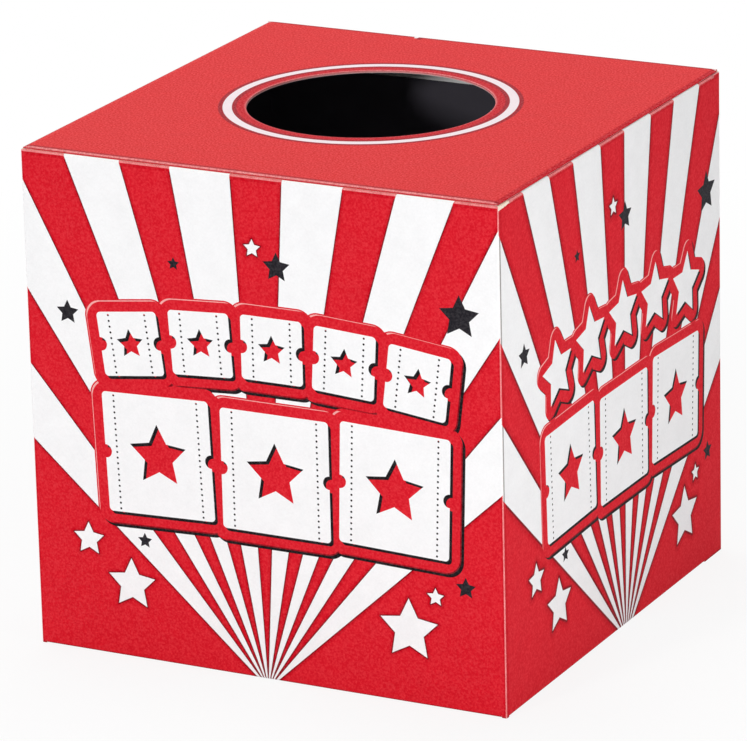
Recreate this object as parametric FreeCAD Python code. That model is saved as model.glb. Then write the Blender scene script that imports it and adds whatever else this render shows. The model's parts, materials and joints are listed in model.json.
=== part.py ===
import FreeCAD, Part
import math
import os

# Raffle box: an erected tuck-top carton of printed micro-flute board with a round hand hole,
# a locked bottom and a black inner sleeve. Millimetres, +Z up, origin under the middle of the
# base. The front faces -Y. Every panel of the folded sheet is a solid that ends at its crease.

os.makedirs("parts", exist_ok=True)

# Overall size of the closed box, over the board
box_width = 300.0
box_depth = 300.0
box_height = 300.0

# Board and running gaps
board = 1.5
crease_gap = 0.12
lid_gap = 0.2
stack_gap = 0.15

# Vertical folds of the four walls
corner_radius = 1.0
crease_bead = 0.4
corner_foot = 3.0
foot_gap = 0.2

# Glued seam, at the left end of the back wall
seam_width = 28.0
seam_end = 9.0
seam_taper = 15.0

# Lid: how far its cut sides stay in from the walls' faces, and how the die has crushed them
lid_left_gap = 0.6
lid_right_gap = 1.4
lid_crush = 0.8
lid_crush_run = 2.5
lid_crush_radius = 12.0

# Round hand hole, which sits a little left of and behind the middle
hole_radius = 72.1
hole_x = -6.8
hole_y = 6.2
hole_edge_round = 0.6

# Cut top edge of the front wall, and the posts at the front ends of the side walls
front_drop = 1.5
front_edge_round = 1.4
post_length = 13.6
post_gap = 0.8
rear_shoulder = 8.0
rear_shoulder_drop = 0.3

# Tuck flap, folded down from the lid behind the front wall
tuck_depth = 22.0
tuck_side_gap = 1.0
tuck_wall_gap = 0.5
tuck_corner_radius = 14.0
tuck_lean = 3.0

# Dust flaps, folded in from the side walls under the lid
dust_depth = 60.0
dust_front_chamfer = 15.0
dust_front_taper = 8.0
dust_rear_angle = 24.0
dust_corner_radius = 7.0

# Locked bottom: how far in each flap has climbed to its own layer
side_ramp = 14.0
back_ramp = 22.0

# Side flaps of the bottom, at the middle layer
side_flap_end = 25.0
side_flap_inner = 25.0
side_flap_step = 5.0
side_flap_round = 6.0

# Back flap of the bottom and its slot, distances from the middle of the box
slot_start = 4.0
slot_end = 75.0
slot_round = 5.0
lobe_chamfer = 26.0

# Front flap of the bottom and its tongue, which goes up through the slot and over the back flap
front_flap_inset = 17.0
front_flap_end = 4.0
front_flap_round = 8.0
tongue_half_width = 68.0
tongue_side_gap = 2.0
tongue_taper = 6.0
tongue_ramp_start = 8.0
tongue_ramp_gap = 5.0
tongue_hold = 23.0
tongue_round = 12.0

# Black inner sleeve
liner_board = 0.8
liner_gap = 0.4
liner_radius = 1.0
liner_bead = 0.2
liner_top_drop = 25.3
liner_rest_gap = 0.3
liner_foot_room = 0.4
liner_seam_width = 25.0
liner_seam_end = 5.0

# Levels and faces that follow from the sizes above
half_width = box_width / 2
half_depth = box_depth / 2
lid_underside = box_height - board
lid_left = half_width - lid_left_gap
lid_right = half_width - lid_right_gap
lid_edge_top = box_height - lid_crush
dust_top = lid_underside - lid_gap
dust_underside = dust_top - board
front_wall_top = box_height - front_drop
side_crease_top = dust_top - crease_gap
back_crease_top = box_height - crease_gap
tuck_front = -half_depth + board + tuck_wall_gap
tuck_axis_y = tuck_front + board
layer = board + stack_gap
through = 4 * board
flap_crease = half_width - corner_foot - foot_gap
crease_strip = 2 * board + liner_gap + liner_board + liner_foot_room
slot_half_width = tongue_half_width + tongue_side_gap
tongue_ramp_end = slot_end - tongue_ramp_gap
tongue_tip = slot_end + tongue_hold

# The quarter round of a moving fold, in degrees from inward of the outer face: each side has half
WALL_SIDE = (135, 180)
FLAP_SIDE = (90, 135)


def vec(x, y, z=0.0):
    return FreeCAD.Vector(x, y, z)


def arc_by_middle(start, middle, end):
    return Part.Arc(start, middle, end).toShape()


def corner_arc(before, corner, after, radius):
    """The arc that rounds one corner: where it starts, its middle and where it ends."""
    back = (before - corner).normalize()
    ahead = (after - corner).normalize()
    half_angle = back.getAngle(ahead) / 2
    reach = radius / math.tan(half_angle)
    inward = (back + ahead).normalize()
    middle = corner + inward * (radius / math.sin(half_angle) - radius)
    return corner + back * reach, middle, corner + ahead * reach


def outline(corners):
    """A flat closed face through corners (u, v) or (u, v, radius), rounded where a radius is given."""
    points = [vec(corner[0], corner[1]) for corner in corners]
    radii = [corner[2] if len(corner) > 2 else 0.0 for corner in corners]
    edges = []
    runs = []
    count = len(points)
    for index in range(count):
        before = points[index - 1]
        after = points[(index + 1) % count]
        if radii[index] > 0:
            start, middle, end = corner_arc(before, points[index], after, radii[index])
            runs.append((start, end, arc_by_middle(start, middle, end)))
        else:
            runs.append((points[index], points[index], None))
    for index in range(count):
        leave = runs[index]
        reach = runs[(index + 1) % count]
        if leave[2] is not None:
            edges.append(leave[2])
        if leave[1].distanceToPoint(reach[0]) > 1e-6:
            edges.append(Part.makeLine(leave[1], reach[0]))
    return Part.Face(Part.Wire(edges))


def plan_prism(face, bottom, top):
    """A face drawn in X and Y, raised between two heights."""
    solid = face.extrude(vec(0, 0, top - bottom))
    solid.translate(vec(0, 0, bottom))
    return solid


def elevation_prism(face, near, far):
    """A face drawn as (X, Z), carried along Y from near to far."""
    solid = face.extrude(vec(0, 0, far - near))
    solid.rotate(vec(0, 0), vec(1, 0), 90)
    solid.translate(vec(0, far, 0))
    return solid


def section_prism(face, left, right):
    """A face drawn as (Y, Z), carried along X from left to right."""
    solid = face.extrude(vec(0, 0, right - left))
    solid.rotate(vec(0, 0), vec(0, 0, 1), 90)
    solid.rotate(vec(0, 0), vec(0, 1), 90)
    solid.translate(vec(left, 0, 0))
    return solid


def turned(solid, quarter):
    """Carry a solid that was drawn for the front side to another side: 1 right, 2 back, 3 left."""
    solid.rotate(vec(0, 0), vec(0, 0, 1), 90 * quarter)
    return solid


def write(node, solid):
    pieces = solid.Solids
    if not pieces or not solid.isValid():
        raise ValueError(node + " is not a valid solid")
    whole = pieces[0] if len(pieces) == 1 else Part.makeCompound(pieces)
    whole.exportStep("parts/" + node + ".step")


def panel_plan(start, end, outer, thickness, radius, bead, start_folds, end_folds):
    """Plan of one upright panel that runs along X, with its outer face at Y = outer.
    A folded end has half of the fold's outside radius, the mitre and half of its inner bead."""
    diagonal = math.sqrt(0.5)
    inner = outer + thickness
    edges = []
    ends = []
    for place, direction, folds in ((start, -1, start_folds), (end, 1, end_folds)):
        if folds:
            low = vec(place - direction * radius, outer)
            on_arc = vec(place - direction * radius * (1 - diagonal), outer + radius * (1 - diagonal))
            bend = math.radians(22.5)
            half_way = vec(
                place - direction * radius * (1 - math.sin(bend)),
                outer + radius * (1 - math.cos(bend)),
            )
            mitre = vec(
                place - direction * (thickness + bead * diagonal),
                inner + bead * diagonal,
            )
            bead_middle = vec(
                place - direction * (thickness + bead * math.cos(bend)),
                inner + bead * math.sin(bend),
            )
            bead_foot = vec(place - direction * (thickness + bead), inner)
            chain = [
                arc_by_middle(low, half_way, on_arc),
                Part.makeLine(on_arc, mitre),
                arc_by_middle(mitre, bead_middle, bead_foot),
            ]
            ends.append((low, bead_foot))
        else:
            low = vec(place, outer)
            high = vec(place, inner)
            chain = [Part.makeLine(low, high)]
            ends.append((low, high))
        edges.extend(chain)
    edges.append(Part.makeLine(ends[0][0], ends[1][0]))
    edges.append(Part.makeLine(ends[0][1], ends[1][1]))
    return Part.Face(Part.Wire(Part.__sortEdges__(edges)))


def wall_plan(length_start, length_end, half_span, start_folds, end_folds):
    return panel_plan(
        length_start, length_end, -half_span, board, corner_radius, crease_bead,
        start_folds, end_folds,
    )


def fold_slice(outer, top, direction, span):
    """Section of the bent board on one side of a moving crease: a slice of the round outside of
    the fold. The fold's inner corner is its centre. Angles run from inward of the outer face."""
    centre = vec(outer + direction * board, top - board)
    rim = []
    for degrees in (span[0], sum(span) / 2, span[1]):
        angle = math.radians(degrees)
        rim.append(centre + vec(direction * board * math.cos(angle), board * math.sin(angle)))
    edges = [
        Part.makeLine(centre, rim[0]), arc_by_middle(rim[0], rim[1], rim[2]),
        Part.makeLine(rim[2], centre),
    ]
    return Part.Face(Part.Wire(edges))


def raised_panel(plan, face, half_span, fold=None):
    """The part of an upright panel that lies inside an elevation outline, with a fold on top."""
    block = plan_prism(plan, 0, box_height)
    blade = elevation_prism(face, -half_span - board, -half_span + through)
    if fold is not None:
        blade = blade.fuse(fold)
    return block.common(blade).removeSplitter()


# Walls, each drawn at the front and turned to its side

def front_wall():
    """Front wall: its top is a cut edge, crushed round on the outside by the die."""
    plan = wall_plan(-half_width, half_width, half_depth, True, True)
    crease = half_width - corner_foot
    face = outline([
        (-half_width, 0), (-crease, 0), (-crease, board), (crease, board),
        (crease, 0), (half_width, 0), (half_width, front_wall_top), (-half_width, front_wall_top),
    ])
    wall = raised_panel(plan, face, half_depth)
    outer = -half_depth
    inner = outer + through
    section = outline([
        (outer, 0), (inner, 0), (inner, front_wall_top), (outer, front_wall_top, front_edge_round),
    ])
    return wall.common(section_prism(section, -box_width, box_width))


def back_wall():
    """Back wall: the lid's crease is its top, and its left end is cut and glued over the seam tab."""
    plan = wall_plan(-half_width, half_width, half_depth, True, False)
    crease = half_width - corner_foot
    low = back_crease_top - board
    face = outline([
        (-half_width, 0), (-crease, 0), (-crease, board), (crease, board),
        (crease, 0), (half_width, 0), (half_width, low), (-half_width, low),
    ])
    slice_face = fold_slice(-half_depth, back_crease_top, 1, WALL_SIDE)
    fold = section_prism(slice_face, -lid_right, lid_left)
    return turned(raised_panel(plan, face, half_depth, fold), 2)


def side_wall_face(front_end, rear_end, front_sign):
    """Elevation of a side wall. front_sign is -1 where the front lies at the lower end of the run."""
    flap_top = side_crease_top - board
    shoulder_top = lid_underside - rear_shoulder_drop
    front = half_depth * front_sign
    post = front - front_sign * post_length
    shoulder = -front_sign * (half_depth - rear_shoulder)
    crease_front = front - front_sign * corner_foot
    crease_rear = -front_sign * (half_depth - side_flap_end)
    return outline([
        (front_end, 0), (crease_front, 0), (crease_front, board), (crease_rear, board),
        (crease_rear, 0), (rear_end, 0), (rear_end, shoulder_top), (shoulder, shoulder_top),
        (shoulder, flap_top), (post, flap_top), (post, dust_top), (front_end, dust_top),
    ])


def dust_fold(span, top, front_sign):
    """One side of a dust flap's fold, along the crease between the post and the rear shoulder."""
    front = front_sign * (half_depth - post_length - post_gap)
    rear = -front_sign * (half_depth - rear_shoulder - foot_gap)
    face = fold_slice(-half_width, top, 1, span)
    return section_prism(face, min(front, rear), max(front, rear))


def right_wall():
    plan = wall_plan(-half_depth, half_depth, half_width, True, True)
    face = side_wall_face(-half_depth, half_depth, -1)
    fold = dust_fold(WALL_SIDE, side_crease_top, -1)
    return turned(raised_panel(plan, face, half_width, fold), 1)


def left_wall():
    """Left wall: shorter by the board at the back, where it folds into the seam tab."""
    rear = half_depth - board
    plan = wall_plan(-rear, half_depth, half_width, True, True)
    face = side_wall_face(half_depth, -rear, 1)
    fold = dust_fold(WALL_SIDE, side_crease_top, 1)
    return turned(raised_panel(plan, face, half_width, fold), 3)


def seam_tab():
    """Glue tab folded in from the left wall and glued inside the back wall."""
    free = half_width - seam_width
    plan = panel_plan(
        free, half_width, -half_depth + board, board, corner_radius, crease_bead, False, True,
    )
    drop = seam_width * math.tan(math.radians(seam_taper))
    low = seam_end
    high = lid_underside - seam_end
    face = outline([(free, low + drop), (half_width, low), (half_width, high), (free, high - drop)])
    block = plan_prism(plan, 0, box_height)
    blade = elevation_prism(face, -half_depth, -half_depth + through)
    return turned(block.common(blade), 2)


# Lid and the flaps that close the top

def lid_plate():
    """The lid's board from fold to fold: its front end is bent over round the tuck flap's crease,
    its back end bends half of the way down to the back wall, its cut sides are crushed on top."""
    rear = half_depth - board
    section = outline([
        (tuck_front, lid_underside), (rear, lid_underside),
        (rear, box_height), (tuck_front, box_height, board),
    ])
    across = outline([
        (-lid_left, lid_underside), (lid_right, lid_underside), (lid_right, lid_edge_top),
        (lid_right - lid_crush_run, box_height, lid_crush_radius),
        (lid_crush_run - lid_left, box_height, lid_crush_radius), (-lid_left, lid_edge_top),
    ])
    plate = section_prism(section, -lid_left, lid_right)
    plate = plate.common(elevation_prism(across, tuck_front, rear))
    slice_face = fold_slice(half_depth, box_height, -1, FLAP_SIDE)
    fold = section_prism(slice_face, -lid_left, lid_right)
    return plate.fuse(fold).removeSplitter()


def lid_panel():
    lid = lid_plate()
    hole = Part.makeCylinder(hole_radius, through, vec(hole_x, hole_y, lid_underside - board))
    lid = lid.cut(hole).Solids[0]
    rim = [
        edge for edge in lid.Edges
        if isinstance(edge.Curve, Part.Circle)
        and abs(edge.Curve.Radius - hole_radius) < 1e-6
        and abs(edge.Curve.Center.z - box_height) < 1e-6
    ]
    return lid.makeFillet(hole_edge_round, rim)


def tuck_flap():
    """Tuck flap: hangs from the lid's front crease and leans a little into the box."""
    top = lid_underside - crease_gap
    tip = lid_underside - tuck_depth
    side = half_width - board - tuck_side_gap
    face = outline([
        (-side, top), (-side, tip, tuck_corner_radius), (side, tip, tuck_corner_radius), (side, top),
    ])
    flap = elevation_prism(face, tuck_front, tuck_axis_y)
    flap.rotate(vec(0, tuck_axis_y, lid_underside), vec(1, 0, 0), tuck_lean)
    return flap


def dust_flap(quarter, front_sign):
    """Dust flap drawn at the front side and turned to its wall. front_sign is as in side_wall_face.
    Its chamfered front corner leaves room for the tuck flap to swing in."""
    front = front_sign * (half_depth - post_length - post_gap)
    chamfered = front - front_sign * dust_front_chamfer
    rear = -front_sign * (half_depth - rear_shoulder - foot_gap)
    drawn_in = dust_depth * math.tan(math.radians(dust_rear_angle))
    root = -half_width + board
    tip = -half_width + dust_depth
    face = outline([
        (front, root), (chamfered, root + dust_front_chamfer),
        (chamfered - front_sign * dust_front_taper, tip, dust_corner_radius),
        (rear + front_sign * drawn_in, tip, dust_corner_radius), (rear, root),
    ])
    plate = plan_prism(face, dust_underside, dust_top)
    flap = plate.fuse(dust_fold(FLAP_SIDE, dust_top, front_sign)).removeSplitter()
    return turned(flap, quarter)


# Locked bottom: four flaps that pass over and under each other

def climbing_plate(half_span, run_width, stations):
    """A board bent up from the crease at the front side. stations are (distance in, layers up)."""
    outer = -half_span
    lower = [(outer, board), (outer, 0, board), (outer + crease_strip, 0)]
    upper = [(outer + crease_strip, board)]
    for distance, layers in stations:
        lower.append((outer + distance, layers * layer))
        upper.append((outer + distance, layers * layer + board))
    upper.reverse()
    section = outline(lower + upper)
    return section_prism(section, -run_width, run_width)


def cut_to(plate, corners):
    face = outline(corners)
    return plate.common(plan_prism(face, -board, through + board))


def front_bottom_flap():
    """Outermost flap, folded last. Its tongue goes up through the back flap's slot and over it."""
    inset = half_width - front_flap_inset
    outer = -half_depth
    tongue_tip_half_width = tongue_half_width - tongue_taper
    plate = climbing_plate(half_depth, half_width, [
        (half_depth + tongue_ramp_start, 0),
        (half_depth + tongue_ramp_end, 3), (half_depth + tongue_tip, 3),
    ])
    slant = flap_crease - inset
    right = [
        (flap_crease, outer), (flap_crease, outer + 2 * board), (inset, outer + 2 * board + slant),
        (inset, -front_flap_end, front_flap_round), (tongue_half_width, -front_flap_end, slot_round),
        (tongue_tip_half_width, tongue_tip, tongue_round),
    ]
    left = [(-corner[0],) + corner[1:] for corner in reversed(right)]
    return cut_to(plate, right + left)


def back_bottom_flap():
    """Innermost flap, folded first, with the slot that takes the front flap's tongue."""
    outer = -half_depth
    end = -slot_start
    plate = climbing_plate(half_depth, half_width, [(back_ramp, 2), (half_depth + end, 2)])
    right = [
        (flap_crease, outer), (flap_crease, end - lobe_chamfer, slot_round),
        (flap_crease - lobe_chamfer, end, slot_round), (slot_half_width, end, slot_round),
        (slot_half_width, -slot_end, slot_round),
    ]
    left = [(-corner[0],) + corner[1:] for corner in reversed(right)]
    return turned(cut_to(plate, right + left), 2)


def side_bottom_flap(quarter, front_sign):
    """Middle layer: the deep front part lies on the front flap, the waist leaves the slot free."""
    outer = -half_width
    front = front_sign * (half_depth - corner_foot - foot_gap)
    rear = -front_sign * (half_depth - side_flap_end - foot_gap)
    slanted = front_flap_inset - corner_foot + 2 * board
    step = -front_sign * side_flap_step
    plate = climbing_plate(half_width, half_depth, [
        (side_ramp, 1), (half_width - side_flap_inner, 1),
    ])
    corners = [
        (front, outer), (front, outer + board),
        (front - front_sign * slanted, outer + board + slanted),
        (front - front_sign * slanted * 2, -side_flap_inner, side_flap_round),
        (step, -side_flap_inner, side_flap_round),
        (step, -slot_half_width, side_flap_round),
        (rear, -slot_half_width - 2 * side_flap_round, side_flap_round), (rear, outer),
    ]
    return turned(cut_to(plate, corners), quarter)


# Black inner sleeve: stands on the bottom flaps and stops short of the lid

def liner_run(node, quarter, start, end, outer, start_folds, end_folds, face=None):
    """One panel of the sleeve, drawn at the front side, turned, and set back off the glued seam."""
    bottom = board + liner_rest_gap
    top = box_height - liner_top_drop
    plan = panel_plan(
        start, end, outer, liner_board, liner_radius, liner_bead, start_folds, end_folds,
    )
    panel = plan_prism(plan, bottom, top)
    if face is not None:
        panel = panel.common(elevation_prism(face, outer - board, outer + board))
    panel = turned(panel, quarter)
    panel.translate(vec(0, -board / 2, 0))
    write(node, panel)


def liner():
    """The sleeve is one strip folded round, its front end glued inside the right panel's cut end."""
    half_x = half_width - board - liner_gap
    half_y = half_depth - board - liner_gap - board / 2
    inside_x = half_x - liner_board
    liner_run("liner_front", 0, -half_x, inside_x, -half_y, True, True)
    liner_run("liner_right", 1, -half_y + crease_bead, half_y, -half_x, False, True)
    liner_run("liner_back", 2, -half_x, half_x, -half_y, True, True)
    liner_run("liner_left", 3, -half_y, half_y, -half_x, True, True)
    low = board + liner_rest_gap + liner_seam_end
    high = box_height - liner_top_drop - liner_seam_end
    free = -half_y + liner_seam_width
    face = outline([
        (-half_y, low), (free, low + liner_seam_end),
        (free, high - liner_seam_end), (-half_y, high),
    ])
    liner_run("liner_tab", 1, -half_y, free, -inside_x, True, False, face)


def main():
    write("front_wall", front_wall())
    write("right_wall", right_wall())
    write("back_wall", back_wall())
    write("left_wall", left_wall())
    write("seam_tab", seam_tab())
    write("lid_panel", lid_panel())
    write("tuck_flap", tuck_flap())
    write("dust_flap_right", dust_flap(1, -1))
    write("dust_flap_left", dust_flap(3, 1))
    write("bottom_flap_front", front_bottom_flap())
    write("bottom_flap_back", back_bottom_flap())
    write("bottom_flap_right", side_bottom_flap(1, -1))
    write("bottom_flap_left", side_bottom_flap(3, 1))
    liner()


main()
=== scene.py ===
import json
import math

import bmesh
import bpy
import numpy as np
from mathutils import Matrix, Vector


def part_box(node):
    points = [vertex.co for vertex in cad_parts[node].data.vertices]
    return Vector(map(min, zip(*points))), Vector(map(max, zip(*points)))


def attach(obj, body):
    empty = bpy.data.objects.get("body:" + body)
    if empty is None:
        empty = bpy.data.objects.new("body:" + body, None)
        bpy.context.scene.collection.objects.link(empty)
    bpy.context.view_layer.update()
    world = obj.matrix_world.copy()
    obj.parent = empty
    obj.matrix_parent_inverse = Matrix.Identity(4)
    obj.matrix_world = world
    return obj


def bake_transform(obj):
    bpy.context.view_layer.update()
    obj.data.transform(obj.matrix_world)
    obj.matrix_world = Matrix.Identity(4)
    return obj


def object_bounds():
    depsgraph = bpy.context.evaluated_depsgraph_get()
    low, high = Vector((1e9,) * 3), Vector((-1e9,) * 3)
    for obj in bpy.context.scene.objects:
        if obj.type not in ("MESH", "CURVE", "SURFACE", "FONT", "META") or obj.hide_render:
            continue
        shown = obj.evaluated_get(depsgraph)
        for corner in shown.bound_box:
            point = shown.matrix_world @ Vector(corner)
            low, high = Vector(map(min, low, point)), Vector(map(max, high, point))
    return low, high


# Raffle box: a printed folding carton with a round hand hole in its lid and a black sleeve inside.
# Objects are in metres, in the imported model's frame. The front faces -Y.
# Prints are laid out in millimetres on each panel: across from its left edge, up from its foot.

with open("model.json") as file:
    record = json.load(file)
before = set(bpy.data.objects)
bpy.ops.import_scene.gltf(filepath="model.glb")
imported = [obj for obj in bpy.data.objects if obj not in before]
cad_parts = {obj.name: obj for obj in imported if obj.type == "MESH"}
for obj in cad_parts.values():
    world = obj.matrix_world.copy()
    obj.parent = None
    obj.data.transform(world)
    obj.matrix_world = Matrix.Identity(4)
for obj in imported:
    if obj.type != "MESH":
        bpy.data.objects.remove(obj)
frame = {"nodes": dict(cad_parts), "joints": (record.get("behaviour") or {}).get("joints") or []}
cad_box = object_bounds()
panels = frame["nodes"]
creases = {joint["name"]: joint for joint in frame["joints"]}

MM = 0.001
FRONT_SIDE = (0, -1, 0)
UP = (0, 0, 1)
DOWN = (0, 0, -1)

# Matt varnish: its strength of reflection and how rough it is
VARNISH_LEVEL = 0.04
VARNISH_ROUGHNESS = 0.5

# Even light from all round, and how far the floor near the box shows white of its own, which grows to
# the whole between these two distances in metres
AMBIENT = 0.28
FLOOR_GLOW = 0.88
FLOOR_NEAR, FLOOR_FAR = 0.3, 0.9

# Soft square lamps: place, what they point at, width in metres and power in watts
LAMPS = {
    "front_light": ((-0.887, -3.558, 1.246), (0, 0, 0.25), 0.4, 59.5),
    "top_light": ((-0.5, 0.5, 3.1), (0, 0, 0.3), 1.6, 49.5),
    "right_light": ((0.95, -0.36, 0.24), (0.15, 0, 0.15), 0.4, 3.1),
}

# Camera, where the photograph was taken from
CAMERA_PLACE = (1.4220, -2.7611, 1.1678)
CAMERA_HEADING = 27.35
CAMERA_DIP = 18.31
CAMERA_ROLL = -1.407
CAMERA_LENS = 269.25
CAMERA_SENSOR = 36.0

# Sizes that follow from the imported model, in millimetres
HALF = round(cad_box[1].x / MM, 3)
TOP = round(cad_box[1].z / MM, 3)
LID_LOW, LID_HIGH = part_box("lid_panel")
BOARD = round((LID_HIGH.z - LID_LOW.z) / MM, 3)
LAYER = round(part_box("bottom_flap_front")[1].z / MM - BOARD, 3) / 3
DUST_TOP = creases["dust_crease_right"]["pos_m"][2] / MM
TUCK_OUTER = round(-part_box("tuck_flap")[0].y / MM, 3)
TUCK_LEAN = 3.0

# Hand hole in the lid and the white ring printed round it
HOLE_CENTRE = (-6.8, 6.2, 0.0)
HOLE_RADIUS = 72.1
RING_INNER = 80.4
RING_OUTER = 85.8

# Sunbursts: where the rays meet, and each edge's angle from upright, in pairs that bound a white ray
FRONT_RAYS_MEET = (149.0, -5.7)
FRONT_RAY_EDGES = (
    (-48.4, -40.0), (-33.7, -27.4), (-21.7, -15.7), (-9.9, -2.8),
    (3.4, 10.4), (16.3, 22.2), (27.4, 33.3), (39.4, 47.5),
)
SIDE_RAYS_MEET = (160.7, -8.5)
SIDE_RAY_EDGES = (
    (-49.4, -41.4), (-35.0, -28.9), (-22.9, -17.4), (-11.9, -5.3),
    (0.8, 7.6), (13.5, 19.7), (26.2, 32.4), (38.5, 46.8),
)

# Scattered stars: across, up and radius to the points
FRONT_WHITE_STARS = (
    (147.0, 257.0, 5.4), (34.5, 69.0, 10.2), (62.0, 45.0, 15.8), (240.0, 44.0, 18.8), (257.0, 66.0, 5.4),
)
FRONT_BLACK_STARS = (
    (26.5, 205.0, 7.4), (96.5, 242.0, 4.0), (162.0, 247.5, 8.9),
    (275.0, 232.5, 12.8), (71.5, 73.0, 4.8), (276.0, 74.0, 6.5),
)
SIDE_WHITE_STARS = (
    (149.0, 257.5, 5.5), (41.0, 68.5, 10.2), (70.5, 44.0, 16.0), (245.5, 39.5, 18.4), (261.5, 61.5, 5.3),
)
SIDE_BLACK_STARS = (
    (29.5, 204.5, 7.4), (100.0, 242.0, 4.0), (165.0, 247.5, 9.1),
    (279.5, 230.5, 13.2), (79.5, 71.0, 4.8), (279.5, 69.5, 6.4),
)
STAR_WAIST = 0.5

# Badges that fill the middle of each wall: two rows each. A row has so many members at a pitch, round
# a middle place. Away from the middle they drop by the arch times the square of their number, and
# each leans by the fan more than the one before. Tickets have a half size and a punched star.
FRONT_TICKET_ROWS = (
    dict(count=5, pitch=45.4, middle=(157.5, 198.5), arch=1.9, fan=-3.5, half=(19.4, 19.0), punched=8.8),
    dict(count=3, pitch=75.2, middle=(157.5, 124.5), arch=-1.0, fan=-2.0, half=(34.4, 36.0), punched=19.0),
)
FRONT_STAR_ROWS = ()
SIDE_TICKET_ROWS = (
    dict(count=3, pitch=72.6, middle=(160.8, 116.0), arch=-1.5, fan=-2.0, half=(32.8, 32.5), punched=17.5),
)
SIDE_STAR_ROWS = (
    dict(count=5, pitch=44.2, middle=(160.8, 190.5), arch=2.1, fan=-4.0, radius=20.0),
)
BADGE_MARGIN = 7.5
BADGE_SHIFT = 1.7
TICKET_ROUND = 2.5
TICKET_NOTCH = 4.0
TICKET_PERFORATION = 7.5
PERFORATION_PITCH = 3.4
PERFORATION_RADIUS = 0.65

# Half the width of a print's soft edge. Beside a white shape red has a dark line and a deeper band,
# both wider on the side walls by the side trap, and the white ring has a dark line of its own.
PRINT_EDGE = 0.09
TRAP_LINE = 1.0
TRAP_BAND = 2.8
SIDE_TRAP = 1.9
RING_LINE = 2.6

# How far the print bleeds over a fold onto the next flap
BLEED = 2.2

# Widths of deeper red painted as shade: beside a wall's left and right folds and below its top, where the
# creases' shade falls, and at the lid's right and left edges, for the shade of the crushed edge and the gap
FRONT_CREASE_SHADE = (1.6, 1.5)
SIDE_CREASE_SHADE = (3.4, 1.6)
TOP_CREASE_SHADE = 2.8
LID_EDGE_SHADE_BAND = 2.6
LID_EDGE_SHADE_LINE = 1.0

# The dark line at a wall's foot, and the grey line of painted shade beside the left fold of the side walls
FOOT_LINE = 1.2
SHADE_LINE_MIDDLE = 1.25
SHADE_LINE_HALF = 0.8

# Wear on top of the front right corner post: its width, depth at the corner, loss of depth per
# millimetre away from it, and how ragged its edge is
POST_WIDTH = 13.6
WEAR_DEPTH = 2.4
WEAR_TAPER = 0.07
WEAR_RAGGED = 1.6

# A chip in the varnish of the lid's back fold and the dent beside it, whose dark red is painted shade:
# place and half size, both as across the fold and inward from it
CHIP_PLACE, CHIP_SIZE = (-47.8, 1.6), (1.4, 2.6)
DENT_PLACE, DENT_SIZE = (-44.9, 3.2), (1.7, 3.2)

# Moving creases: half of the width over which the board bends, how far its skin stands out, how far
# short of its ends it stops, half of the tuck flap's bend in degrees, and stations along each fold
CREASE_REACH = 0.25
SKIN_LIFT = 0.03
END_GAP = 0.05
TUCK_BEND = 11.0
FOLD_STEPS = 61

# Torn fibre nicks stand out from the hand hole's rim, with their root this far inside the board
NICK_ROOT = 0.12

# Paper: noise scales per millimetre, how far the grain thins and speckles the ink and speckles bare
# paper, slow mottling, and how much more grain the lid shows than the walls
FIBRE_SCALE = 1.6
GRAIN_SCALE = 0.85
CLOUD_SCALE = 0.09
STREAK_SCALE = 0.35
INK_THINNING = 0.026
INK_SPECKLE = 0.27
BARE_SPECKLE = 0.11
MOTTLE = 0.10
LID_GRAIN = 1.9

# Cut edge: thickness of its paper skins, and how deep print, drawn in painted shade red, reaches over it,
# also on the lid's sides
SKIN_DEPTH = 0.2
WRAP_DEPTH = 0.1
LID_WRAP_DEPTH = 1.38

# The lid lies flat within the first distance from its middle line and is crushed beyond the second
LID_FLAT, LID_CRUSHED = 144.0, 146.0

# A distance larger than any on the carton, from which the nearest shape is sought
FAR_AWAY = 1000.0


def ink(red, green, blue):
    """A colour as it is seen, 0 to 255, as the linear values that a shader takes."""
    seen = np.array([red, green, blue]) / 255
    linear = np.where(seen <= 0.04045, seen / 12.92, ((seen + 0.055) / 1.055) ** 2.4)
    return (*linear.tolist(), 1.0)


RED = ink(218, 23, 40)
LID_RED = ink(226, 40, 43)
# DEEP_RED and BRIGHT_RED are the print's deeper reds at traps and on the badge, and both also serve as
# painted shade beside folds and at the lid's edges
DEEP_RED = ink(128, 2, 20)
BRIGHT_RED = ink(204, 3, 28)
# Painted shade on the lid's crushed right edge
CRUSHED_SHADE_RED = ink(200, 3, 27)
PINK = ink(252, 188, 186)
# Pale pink on bends and rims: partly stretched ink, partly painted highlight
FOLD_PINK = ink(252, 160, 161)
WHITE = ink(248, 248, 249)
RING_WHITE = ink(254, 239, 243)
RING_RED = ink(164, 4, 28)
# Painted shade: a grey line on white beside the side walls' left fold
CREASE_SHADE_GREY = ink(150, 148, 144)
BLACK = ink(34, 31, 37)
SHADOW_BLACK = ink(20, 14, 18)
INSIDE_WHITE = ink(240, 240, 238)
CORE_CREAM = ink(250, 230, 202)
WORN_CREAM = ink(254, 236, 218)
CORE_PINK = ink(250, 170, 170)
CRACK_GREY = ink(250, 214, 208)
# Painted shade red: on the part of a bend that turns away, and on print over a cut edge
GAP_SHADE_RED = ink(196, 8, 28)
SLEEVE_BLACK = ink(70, 67, 74)
SLEEVE_FIBRE = ink(88, 85, 91)
SLEEVE_CORE = ink(100, 98, 102)


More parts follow.
